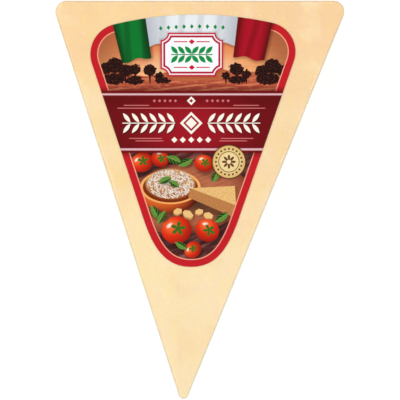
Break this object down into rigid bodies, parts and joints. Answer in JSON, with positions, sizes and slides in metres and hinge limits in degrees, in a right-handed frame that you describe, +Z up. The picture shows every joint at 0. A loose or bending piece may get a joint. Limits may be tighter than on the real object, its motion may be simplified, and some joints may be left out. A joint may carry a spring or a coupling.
{
  "type": "wrapped wedge of parmesan cheese",
  "caption": "Triangular wedge of hard cheese in tight clear film, lying flat, with a rounded printed label on its upper cut face.",
  "frame": {"origin": "on the surface that the pack lies on, under the middle of the pack's outline", "axes": "+Y from the wedge's point to its rind end, +X across the wedge, +Z up out of the labelled face"},
  "size_m": [0.0824, 0.1136, 0.0257],
  "materials": {
    "wrapped_cheese": "pale straw-yellow hard cheese under tight clear glossy film",
    "clear_film": "thin clear glossy shrink film",
    "label_print": "satin coated label paper, printed mainly in dark red with a brighter red border"
  },
  "bodies": {
    "root": {"wrapped_wedge": "wrapped_cheese", "label": "label_print"}
  },
  "joints": []
}
